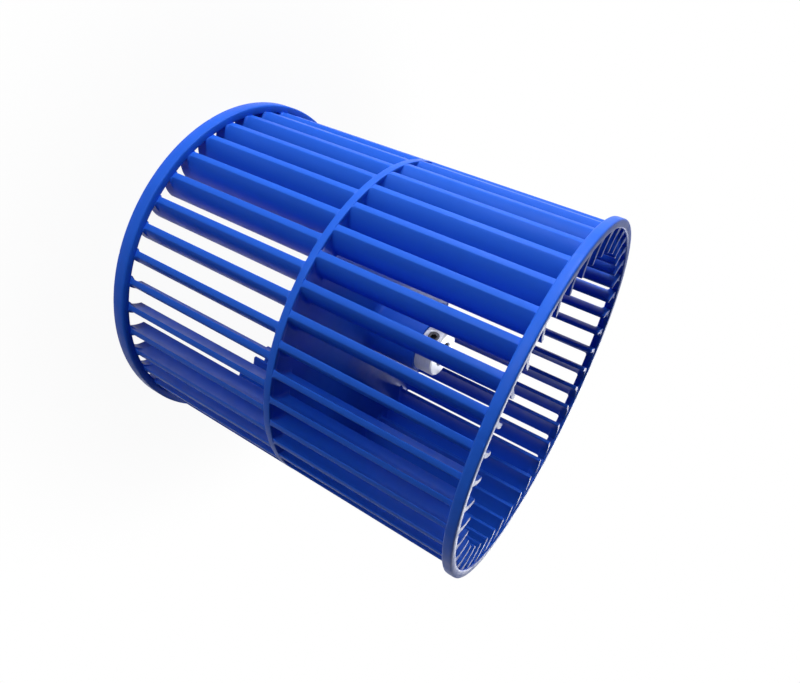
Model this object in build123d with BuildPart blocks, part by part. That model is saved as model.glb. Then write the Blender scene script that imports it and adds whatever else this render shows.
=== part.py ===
from build123d import *
import math
import os

os.makedirs("parts", exist_ok=True)

# Forward-curved double-inlet drum wheel, standing on its end with the hub's collar upwards.
# Millimetres, wheel axis on +Z, base ring on z = 0.

# Envelope
wheel_diameter = 150.0
wheel_length = 160.4

# End rings
ring_stand_out = 2.7
ring_grip = 0.7
base_ring_height = 5.7
top_ring_height = 3.9
ring_edge_radius = 0.6

# Blades
blade_count = 40
blade_depth = 10.0
blade_land_angle = 2.15
blade_root_angle = 5.45
blade_root_thickness = 1.65
blade_back_camber = 1.3
blade_front_camber = 1.2
blade_end_recess = 0.7
blade_pitch = 360.0 / blade_count

# Centre disc
disc_thickness = 2.4
disc_height = 79.2
disc_rim_stand_out = 0.3

# Hub boss moulded on the disc
boss_radius = 11.3
boss_rise = 23.9
boss_foot_fillet = 3.0
boss_edge_radius = 0.6
back_boss_depth = 3.0

# Metal bush moulded into the boss
bore_radius = 5.0
bush_shank_wall = 3.0
bush_collar_wall = 5.1
bush_collar_height = 8.1
bush_chamfer = 0.5

# Set screw in the collar
screw_radius = 2.5
screw_angle = 76.0
screw_tip_gap = 0.4
screw_head_recess = 0.4
socket_across_flats = 2.5
socket_depth = 2.0

wheel_radius = wheel_diameter / 2
blade_tip_radius = wheel_radius - ring_stand_out
blade_root_radius = blade_tip_radius - blade_depth
ring_inner_radius = blade_tip_radius - ring_grip
disc_rim_radius = blade_tip_radius + disc_rim_stand_out
disc_bottom = disc_height - disc_thickness / 2
disc_top = disc_height + disc_thickness / 2
back_boss_bottom = disc_bottom - back_boss_depth
boss_top = disc_top + boss_rise
bush_top = boss_top + bush_collar_height
bush_shank_radius = bore_radius + bush_shank_wall
bush_collar_radius = bore_radius + bush_collar_wall
screw_height = (boss_top + bush_top) / 2
screw_tip = bore_radius + screw_tip_gap
screw_head = bush_collar_radius - screw_head_recess

# One blade section: its tip cut by the rim into a flat land, its root further round the wheel.
def on_circle(radius, angle):
    return (radius * math.cos(math.radians(angle)), radius * math.sin(math.radians(angle)))


root_front_angle = blade_root_angle - math.degrees(blade_root_thickness / blade_root_radius)
tip_front = on_circle(blade_tip_radius, 0)
tip_back = on_circle(blade_tip_radius, blade_land_angle)
root_back = on_circle(blade_root_radius, blade_root_angle)
root_front = on_circle(blade_root_radius, root_front_angle)

with BuildSketch() as blade_section:
    with BuildLine():
        SagittaArc(tip_back, root_back, -blade_back_camber)
        Line(root_back, root_front)
        SagittaArc(root_front, tip_front, blade_front_camber)
        Line(tip_front, tip_back)
    make_face()

# The whole moulding: two staggered blade rows, centre disc, end rings and boss.
with BuildPart() as impeller:
    with BuildSketch(Plane.XY.offset(blade_end_recess)):
        with PolarLocations(0, blade_count):
            add(blade_section.sketch)
    extrude(amount=disc_height - blade_end_recess)
    with BuildSketch(Plane.XY.offset(disc_height)):
        with PolarLocations(0, blade_count, start_angle=blade_pitch / 2):
            add(blade_section.sketch)
    extrude(amount=wheel_length - blade_end_recess - disc_height)

    with BuildSketch(Plane.XY.offset(disc_bottom)):
        Circle(disc_rim_radius)
    extrude(amount=disc_thickness)

    end_rings = ((0, base_ring_height), (wheel_length - top_ring_height, top_ring_height))
    for ring_bottom, ring_height in end_rings:
        with BuildSketch(Plane.XZ) as ring_section:
            with Locations((ring_inner_radius, ring_bottom)):
                Rectangle(wheel_radius - ring_inner_radius, ring_height, align=(Align.MIN, Align.MIN))
            fillet(ring_section.vertices().sort_by(Axis.X)[-2:], ring_edge_radius)
        revolve(axis=Axis.Z)

    with BuildSketch(Plane.XZ):
        with BuildLine() as boss_outline:
            Polyline(
                (0, back_boss_bottom),
                (boss_radius, back_boss_bottom),
                (boss_radius, boss_top),
                (0, boss_top),
                close=True,
            )
            fillet(boss_outline.vertices().filter_by(lambda v: v.X > 0), boss_edge_radius)
        make_face()
    revolve(axis=Axis.Z)

    boss_foot = (
        impeller.edges()
        .filter_by(GeomType.CIRCLE)
        .filter_by(lambda e: abs(e.radius - boss_radius) < 0.01 and abs(e.center().Z - disc_top) < 0.01)
    )
    fillet(boss_foot, boss_foot_fillet)

    with BuildSketch(Plane.XY.offset(back_boss_bottom)):
        Circle(bush_shank_radius)
    extrude(amount=boss_top - back_boss_bottom, mode=Mode.SUBTRACT)

impeller.part.label = "impeller"
export_step(impeller.part, "parts/impeller.step")

# Bush: shank inside the boss, collar standing on it, bored through.
screw_direction = Vector(1, 0, 0).rotate(Axis.Z, screw_angle)
with BuildPart() as hub_bush:
    with BuildSketch(Plane.XZ):
        with BuildLine():
            Polyline(
                (bore_radius, back_boss_bottom + bush_chamfer),
                (bore_radius + bush_chamfer, back_boss_bottom),
                (bush_shank_radius, back_boss_bottom),
                (bush_shank_radius, boss_top),
                (bush_collar_radius, boss_top),
                (bush_collar_radius, bush_top - bush_chamfer),
                (bush_collar_radius - bush_chamfer, bush_top),
                (bore_radius + bush_chamfer, bush_top),
                (bore_radius, bush_top - bush_chamfer),
                close=True,
            )
        make_face()
    revolve(axis=Axis.Z)
    with BuildSketch(Plane((0, 0, screw_height), z_dir=screw_direction)):
        Circle(screw_radius)
    extrude(amount=wheel_radius / 2, mode=Mode.SUBTRACT)

hub_bush.part.label = "hub_bush"
export_step(hub_bush.part, "parts/hub_bush.step")

# Set screw with a hexagon socket, its tip short of the bore.
screw_plane = Plane(screw_direction * screw_tip + Vector(0, 0, screw_height), z_dir=screw_direction)
with BuildPart() as set_screw:
    with BuildSketch(screw_plane):
        Circle(screw_radius)
    extrude(amount=screw_head - screw_tip)
    with BuildSketch(screw_plane.offset(screw_head - screw_tip)):
        RegularPolygon(socket_across_flats / 2, 6, major_radius=False)
    extrude(amount=-socket_depth, mode=Mode.SUBTRACT)

set_screw.part.label = "set_screw"
export_step(set_screw.part, "parts/set_screw.step")
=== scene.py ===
import math

import bpy
import numpy as np
from mathutils import Matrix, Vector


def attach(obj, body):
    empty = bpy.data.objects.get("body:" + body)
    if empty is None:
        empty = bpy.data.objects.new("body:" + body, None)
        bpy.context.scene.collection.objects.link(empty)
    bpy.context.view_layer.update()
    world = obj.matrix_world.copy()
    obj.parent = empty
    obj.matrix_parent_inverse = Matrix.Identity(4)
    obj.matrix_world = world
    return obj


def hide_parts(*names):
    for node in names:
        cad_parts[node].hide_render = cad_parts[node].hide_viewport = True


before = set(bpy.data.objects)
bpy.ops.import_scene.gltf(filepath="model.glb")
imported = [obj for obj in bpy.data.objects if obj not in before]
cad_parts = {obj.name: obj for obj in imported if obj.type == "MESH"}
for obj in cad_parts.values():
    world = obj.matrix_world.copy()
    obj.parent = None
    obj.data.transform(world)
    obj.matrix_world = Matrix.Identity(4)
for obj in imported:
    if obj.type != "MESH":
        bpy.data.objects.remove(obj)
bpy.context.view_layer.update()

# ---------------------------------------------------------------- sizes, in millimetres
MM = 0.001
WHEEL_R = 75.0
LENGTH = 160.4

# End rings, with the edge radii of their inner and outer sides
RING_WALL = 3.4
BASE_RING = 5.7
TOP_RING = 3.9
RING_INNER_EDGE = 0.5
RING_OUTER_EDGE = 0.7
RING_SEGMENTS = 720

# Mould lines across the rings, one at each joint of the mould's segments
MARK_COUNT = 7
MARK_START = math.radians(119.8)
MARK_DEPTH = 0.144
MARK_WIDTH = 0.35
MARK_REACH = 1.2

# Blades
BLADES = 40
TIP_R = 72.3
ROOT_R = 61.9
LAND = math.radians(2.15)
ROOT_BACK = math.radians(5.75)
ROOT_T = 1.65
ROOT_FRONT = ROOT_BACK - ROOT_T / ROOT_R
BACK_CAMBER = 1.3
FRONT_CAMBER = 1.2
LAND_BACK_EDGE = 0.55
LAND_FRONT_EDGE = 0.24
ROOT_EDGE = 0.3
END_RECESS = 0.7
END_BEVEL = 0.14
BEVEL_HEIGHT = 0.18
DRAFT = 0.05
BACK_STEPS = 11
FRONT_STEPS = 9

# Fillets where a blade leaves the disc and meets its ring, and where their sections lie
FILLET = 1.3
RING_FLARE = 0.9
FLARE_START_R = 68.5
FLARE_FULL_R = 71.5
FROM_DISC = (0, 0.06, 0.16, 0.32, 0.55, 0.85, 1.3)
MID_SPAN = (0.25, 0.5, 0.75)
FROM_RING = (-1.3, -0.8, -0.45, -0.2, -0.06, 0, 0.3)

# Centre disc and its thicker rim
DISC_Z = 79.2
DISC_T = 2.4
DISC_TOP = DISC_Z + DISC_T / 2
DISC_BOTTOM = DISC_Z - DISC_T / 2
DISC_SEGMENTS = 288
RIM_R = TIP_R
RIM_T = 3.0
RIM_TOP = DISC_Z + RIM_T / 2
RIM_BOTTOM = DISC_Z - RIM_T / 2
RIM_INNER_R = RIM_R - 1.2
RIM_FOOT_R = RIM_R - 2.4

# Hub boss
BOSS_R = 11.3
BOSS_TOP = 104.3
BOSS_BACK = 75.0
SHANK_R = 8.0


# ---------------------------------------------------------------- mesh helpers
class Builder:
    """Gathers vertices and faces of one moulding, in millimetres."""

    def __init__(self):
        self.verts = []
        self.faces = []
        self.count = 0

    def add(self, verts, faces):
        self.verts.append(np.asarray(verts, float))
        self.faces += [[i + self.count for i in f] for f in faces]
        self.count += len(verts)

    def grid(self, rows, close_rows=False, cap=False):
        """Closed sections, an array of (levels, points, 3), skinned into quads."""
        n, m = rows.shape[:2]
        faces = []
        for i in range(n if close_rows else n - 1):
            k = (i + 1) % n
            for j in range(m):
                l = (j + 1) % m
                faces.append([i * m + j, i * m + l, k * m + l, k * m + j])
        if cap:
            faces.append(list(range(m))[::-1])
            faces.append([(n - 1) * m + j for j in range(m)])
        self.add(rows.reshape(-1, 3), faces)

    def object(self, name, sharp=35):
        mesh = bpy.data.meshes.new(name)
        mesh.from_pydata((np.concatenate(self.verts) * MM).tolist(), [], self.faces)
        mesh.update()
        obj = bpy.data.objects.new(name, mesh)
        bpy.context.scene.collection.objects.link(obj)
        mesh.shade_smooth()
        mesh.set_sharp_from_angle(angle=math.radians(sharp))
        return obj


def short_way(angle):
    """The same angle between minus and plus half a turn."""
    return (angle + math.pi) % (2 * math.pi) - math.pi


def rounded(points, radii, steps=3):
    """A closed outline with each corner rounded by its own radius, or kept where the radius is 0."""
    out = []
    n = len(points)
    for i, (p, r) in enumerate(zip(points, radii)):
        p = np.array(p, float)
        if r <= 0:
            out.append(p)
            continue
        a = np.array(points[i - 1], float) - p
        b = np.array(points[(i + 1) % n], float) - p
        a, b = a / np.linalg.norm(a), b / np.linalg.norm(b)
        half = math.acos(max(-1, min(1, float(a @ b)))) / 2
        reach = r / math.tan(half)
        centre = p + (a + b) / np.linalg.norm(a + b) * r / math.sin(half)
        start, end = p + a * reach - centre, p + b * reach - centre
        first = math.atan2(start[1], start[0])
        sweep = short_way(math.atan2(end[1], end[0]) - first)
        for k in range(steps + 1):
            t = first + sweep * k / steps
            out.append(centre + r * np.array([math.cos(t), math.sin(t)]))
    return np.array(out)


def turned(builder, outline, segments, sink=None):
    """Revolves a closed (radius, height) outline about the wheel's axis."""
    rows = []
    for k in range(segments):
        t = 2 * math.pi * k / segments
        r = outline[:, 0] - (sink(t, outline) if sink else 0)
        rows.append(np.stack([r * math.cos(t), r * math.sin(t), outline[:, 1]], 1))
    builder.grid(np.array(rows), close_rows=True)


def on_circle(radius, angle):
    return radius * np.array([math.cos(angle), math.sin(angle)])


def bow(a, b, camber, steps):
    """Points and outward normals of a shallow arc from a to b that bows towards +angle."""
    chord = b - a
    length = np.linalg.norm(chord)
    side = np.array([chord[1], -chord[0]]) / length
    side = side if side[1] > 0 else -side
    radius = (length ** 2 / 4 + camber ** 2) / (2 * camber)
    centre = (a + b) / 2 + side * (camber - radius)
    first = math.atan2(*(a - centre)[::-1])
    sweep = short_way(math.atan2(*(b - centre)[::-1]) - first)
    t = first + sweep * np.linspace(0, 1, steps + 1)
    normal = np.stack([np.cos(t), np.sin(t)], 1)
    return centre + radius * normal, normal


# ---------------------------------------------------------------- blades
back_line, back_normal = bow(on_circle(TIP_R, LAND), on_circle(ROOT_R, ROOT_BACK), BACK_CAMBER, BACK_STEPS)
front_line, front_normal = bow(on_circle(TIP_R, 0), on_circle(ROOT_R, ROOT_FRONT), FRONT_CAMBER, FRONT_STEPS)
root_way = back_line[-1] - back_line[-2]
root_way /= np.linalg.norm(root_way)


def blade_outline(grow):
    """Blade section grown all round: a land on the rim, a bowed back, a thin root and a hollow front."""
    back = back_line + back_normal * grow
    front = front_line - front_normal * grow
    back[-1] += root_way * grow
    front[-1] += root_way * grow
    line = np.concatenate([back, front[::-1]])
    reach = np.hypot(line[:, 0], line[:, 1])
    line = line * np.minimum(1, TIP_R / reach)[:, None]
    radii = [0.0] * len(line)
    root = len(back)
    radii[0], radii[-1] = LAND_BACK_EDGE, LAND_FRONT_EDGE
    radii[root - 1], radii[root] = ROOT_EDGE, ROOT_EDGE
    return rounded(line, radii)


def blade_section(height, length, ring_at):
    """Blade section at a height above the disc, filleted at the disc and, near its tip, at the ring."""
    grow = DRAFT * (1 - height / length)
    if height < FILLET:
        grow += FILLET - math.sqrt(FILLET ** 2 - (FILLET - height) ** 2)
    if height == length:
        grow -= END_BEVEL
    near_ring = min(1, max(0, (height - ring_at + FILLET) / FILLET))
    flare = RING_FLARE * (1 - math.sqrt(1 - near_ring ** 2))
    line = blade_outline(grow)
    at_tip = (np.hypot(line[:, 0], line[:, 1]) - FLARE_START_R) / (FLARE_FULL_R - FLARE_START_R)
    return line + (blade_outline(grow + flare) - line) * np.clip(at_tip, 0, 1)[:, None]


def blade_row(builder, disc_face, way, ring_height, start):
    """One bank of blades, from a face of the disc up (way 1) or down (way -1) to its end ring."""
    end = LENGTH - END_RECESS if way > 0 else END_RECESS
    length = abs(end - disc_face)
    ring_at = length - (ring_height - END_RECESS)
    heights = list(FROM_DISC)
    heights += [length * share for share in MID_SPAN]
    heights += [ring_at + step for step in FROM_RING]
    heights += [length - BEVEL_HEIGHT, length]
    rows = []
    for height in heights:
        line = blade_section(height, length, ring_at)
        rows.append(np.column_stack([line, np.full(len(line), disc_face + way * height)]))
    rows = np.array(rows[::way])
    for k in range(BLADES):
        a = 2 * math.pi * k / BLADES + start
        c, s = math.cos(a), math.sin(a)
        placed = rows.copy()
        placed[..., 0] = rows[..., 0] * c - rows[..., 1] * s
        placed[..., 1] = rows[..., 0] * s + rows[..., 1] * c
        builder.grid(placed, cap=True)


# ---------------------------------------------------------------- rings, disc and boss
def mould_lines(t, outline):
    """Depth of the fine lines sunk across a ring's outside where the mould's segments met."""
    depth = 0.0
    for k in range(MARK_COUNT):
        away = short_way(t - MARK_START - 2 * math.pi / MARK_COUNT * k)
        depth = max(depth, MARK_DEPTH * math.exp(-(away * WHEEL_R / MARK_WIDTH) ** 2))
    return np.where(outline[:, 0] > WHEEL_R - MARK_REACH, depth, 0.0)


def end_ring(builder, low, high):
    inner = WHEEL_R - RING_WALL
    outline = rounded(
        [(inner, low), (WHEEL_R, low), (WHEEL_R, high), (inner, high)],
        [RING_INNER_EDGE, RING_OUTER_EDGE, RING_OUTER_EDGE, RING_INNER_EDGE],
    )
    turned(builder, outline, RING_SEGMENTS, mould_lines)


def disc_and_boss(builder):
    """Each corner is radius, height and edge radius, from the boss's hidden end round the rim to its top."""
    corners = [
        (SHANK_R, BOSS_BACK, 0.2),
        (BOSS_R, BOSS_BACK, 0.6),
        (BOSS_R, DISC_BOTTOM, 1.2),
        (RIM_FOOT_R, DISC_BOTTOM, 1.0),
        (RIM_INNER_R, RIM_BOTTOM, 0.5),
        (RIM_R, RIM_BOTTOM, 0.3),
        (RIM_R, RIM_TOP, 0.3),
        (RIM_INNER_R, RIM_TOP, 0.5),
        (RIM_FOOT_R, DISC_TOP, 1.0),
        (BOSS_R, DISC_TOP, 3.0),
        (BOSS_R, BOSS_TOP, 0.6),
        (SHANK_R, BOSS_TOP, 0.2),
    ]
    outline = rounded([c[:2] for c in corners], [c[2] for c in corners])
    turned(builder, outline, DISC_SEGMENTS)


moulding = Builder()
blade_row(moulding, DISC_BOTTOM, -1, BASE_RING, 0.0)
blade_row(moulding, DISC_TOP, 1, TOP_RING, math.pi / BLADES)
end_ring(moulding, 0, BASE_RING)
end_ring(moulding, LENGTH - TOP_RING, LENGTH)
disc_and_boss(moulding)
impeller = moulding.object("impeller_moulding")


# ---------------------------------------------------------------- materials
def empty_tree(owner):
    """The cleared node tree of a material or world."""
    owner.use_nodes = True
    owner.node_tree.nodes.clear()
    return owner.node_tree


def node(tree, kind, inputs, **settings):
    """A new node, each input set to a value or joined to another node's socket."""
    made = tree.nodes.new(kind)
    for key, value in settings.items():
        setattr(made, key, value)
    for key, value in inputs.items():
        if isinstance(value, bpy.types.NodeSocket):
            tree.links.new(value, made.inputs[key])
        else:
            made.inputs[key].default_value = value
    return made


def tint_ramp(tree, factor, low, high):
    """Colour ramp between two (position, colour) stops."""
    made = node(tree, "ShaderNodeValToRGB", {"Fac": factor})
    for stop, (position, colour) in zip(made.color_ramp.elements, (low, high)):
        stop.position = position
        stop.color = (*colour, 1)
    return made.outputs[0]


def stretched_noise(tree, stretch, detail):
    """Noise drawn out along the wheel's axis or round it."""
    place = node(tree, "ShaderNodeTexCoord", {}).outputs["Object"]
    mapping = node(tree, "ShaderNodeMapping", {"Vector": place, "Scale": stretch})
    inputs = {"Vector": mapping.outputs[0], "Scale": 1.0, "Detail": detail}
    return node(tree, "ShaderNodeTexNoise", inputs).outputs["Fac"]


def surface(tree, inputs):
    shader = node(tree, "ShaderNodeBsdfPrincipled", inputs)
    node(tree, "ShaderNodeOutputMaterial", {"Surface": shader.outputs[0]})


def plastic(name):
    """Moulded blue plastic, its tint and surface drawn out along the blades."""
    material = bpy.data.materials.new(name)
    tree = empty_tree(material)
    flow = stretched_noise(tree, (60, 60, 9), 4)
    place = node(tree, "ShaderNodeTexCoord", {}).outputs["Object"]
    fine = node(tree, "ShaderNodeTexNoise", {"Vector": place, "Scale": 220, "Detail": 3}).outputs["Fac"]
    wear = {"Value": fine, "From Min": 0.3, "From Max": 0.7, "To Min": 0.34, "To Max": 0.46}
    bump = node(tree, "ShaderNodeBump", {"Height": flow, "Strength": 0.08, "Distance": 0.0002})
    surface(tree, {
        "Base Color": tint_ramp(tree, flow, (0.3, (0.016, 0.112, 0.66)), (0.72, (0.021, 0.135, 0.75))),
        "Roughness": node(tree, "ShaderNodeMapRange", wear).outputs[0],
        "Normal": bump.outputs[0],
        "IOR": 1.4,
        "Specular IOR Level": 0.15,
    })
    return material


def metal(name, colour, smoothest, roughest):
    """Turned metal with fine tool marks round the wheel's axis."""
    material = bpy.data.materials.new(name)
    tree = empty_tree(material)
    turning = stretched_noise(tree, (40, 40, 2600), 3)
    dull = tuple(c * 0.82 for c in colour)
    finish = {"Value": turning, "To Min": smoothest, "To Max": roughest}
    bump = node(tree, "ShaderNodeBump", {"Height": turning, "Strength": 0.25, "Distance": 0.00005})
    surface(tree, {
        "Base Color": tint_ramp(tree, turning, (0.25, dull), (0.75, colour)),
        "Roughness": node(tree, "ShaderNodeMapRange", finish).outputs[0],
        "Normal": bump.outputs[0],
        "Metallic": 1.0,
    })
    return material


def dress(obj, material):
    obj.data.materials.clear()
    obj.data.materials.append(material)


dress(impeller, plastic("blue_plastic_look"))
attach(impeller, "root")
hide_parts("impeller")
dress(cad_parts["hub_bush"], metal("bush_metal_look", (0.66, 0.68, 0.74), 0.22, 0.42))
dress(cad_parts["set_screw"], metal("screw_steel_look", (0.10, 0.10, 0.11), 0.3, 0.5))

# ---------------------------------------------------------------- floor and world
FLOOR_SIZE = 8
SHADOW_FROM, SHADOW_TO = 0.08, 0.17
GLOW_NEAR, GLOW_FAR = 0.95, 1.0
AMBIENT = 0.04


def seen_by(tree, *rays):
    """1 for the named kinds of ray and 0 for all others."""
    path = node(tree, "ShaderNodeLightPath", {})
    seen = path.outputs[rays[0]]
    for ray in rays[1:]:
        seen = node(tree, "ShaderNodeMath", {0: seen, 1: path.outputs[ray]}, operation="MAXIMUM").outputs[0]
    return seen


def floor_look(name):
    """Matt white that shows white itself and keeps a faint shadow close to the wheel."""
    material = bpy.data.materials.new(name)
    tree = empty_tree(material)
    place = node(tree, "ShaderNodeTexCoord", {}).outputs["Object"]
    away = node(tree, "ShaderNodeVectorMath", {0: place}, operation="LENGTH").outputs["Value"]
    glow_share = node(tree, "ShaderNodeMapRange", {
        "Value": away,
        "From Min": SHADOW_FROM,
        "From Max": SHADOW_TO,
        "To Min": GLOW_NEAR,
        "To Max": GLOW_FAR,
    }, interpolation_type="SMOOTHSTEP").outputs[0]
    seen = seen_by(tree, "Is Camera Ray", "Is Glossy Ray")
    matt = node(tree, "ShaderNodeBsdfDiffuse", {"Color": (0.86, 0.86, 0.87, 1)})
    glow = node(tree, "ShaderNodeEmission", {"Color": (1, 1, 1, 1), "Strength": 1.0})
    mix = node(tree, "ShaderNodeMixShader", {
        0: node(tree, "ShaderNodeMath", {0: seen, 1: glow_share}, operation="MULTIPLY").outputs[0],
        1: matt.outputs[0],
        2: glow.outputs[0],
    })
    node(tree, "ShaderNodeOutputMaterial", {"Surface": mix.outputs[0]})
    return material


def white_world(name):
    """White where it is seen, reflected or seen through glass, and a weak even light elsewhere."""
    made = bpy.data.worlds.new(name)
    tree = empty_tree(made)
    seen = seen_by(tree, "Is Camera Ray", "Is Transmission Ray", "Is Glossy Ray")
    level = node(tree, "ShaderNodeMapRange", {"Value": seen, "To Min": AMBIENT, "To Max": 1.0})
    back = node(tree, "ShaderNodeBackground", {"Color": (1, 1, 1, 1), "Strength": level.outputs[0]})
    node(tree, "ShaderNodeOutputWorld", {"Surface": back.outputs[0]})
    return made


bpy.ops.mesh.primitive_plane_add(size=FLOOR_SIZE, location=(0, 0, 0))
floor = bpy.context.object
floor.name = "floor"
dress(floor, floor_look("floor_look"))
bpy.context.scene.world = white_world("studio")

# ---------------------------------------------------------------- lamps
CENTRE = Vector((0, 0, LENGTH * MM / 2))
LAMPS = (
    # name, direction from the wheel's centre, distance, width and height, watts
    ("key", (0.75, 0.62, 0.18), 0.55, (0.34, 0.12), 1.85),
    ("fill", (0.02, 1.0, -0.05), 0.7, (0.30, 0.12), 1.8),
    ("streak", (0.80, 0.58, -0.14), 0.32, (0.26, 0.04), 0.22),
    ("back", (0.2, -1.0, 0.35), 0.8, (0.4, 0.4), 2.2),
)

for name, direction, distance, size, watts in LAMPS:
    light = bpy.data.lights.new(name, "AREA")
    light.shape = "RECTANGLE"
    light.size, light.size_y = size
    light.energy = watts
    lamp = bpy.data.objects.new(name, light)
    bpy.context.scene.collection.objects.link(lamp)
    way = Vector(direction).normalized()
    lamp.location = CENTRE + way * distance
    lamp.rotation_euler = (-way).to_track_quat("-Z", "Y").to_euler()

# ---------------------------------------------------------------- camera
EYE = Vector((-0.07186, 0.24995, 0.19942))
RIGHT = Vector((0.51002, -0.23249, 0.82815))
UP = Vector((0.82796, 0.39367, -0.39939))
FORWARD = Vector((0.23317, -0.88937, -0.39327))
LENS = 29.237
SENSOR = 36
SHIFT = (0.01357, 0.00345)
NEAREST = 0.005

camera_data = bpy.data.cameras.new("camera")
camera_data.sensor_width = SENSOR
camera_data.lens = LENS
camera_data.shift_x, camera_data.shift_y = SHIFT
camera_data.clip_start = NEAREST
camera = bpy.data.objects.new("camera", camera_data)
bpy.context.scene.collection.objects.link(camera)
camera_place = Matrix((RIGHT, UP, -FORWARD)).transposed().to_4x4()
camera_place.translation = EYE
camera.matrix_world = camera_place
bpy.context.scene.camera = camera

bpy.context.scene.view_settings.view_transform = "Standard"
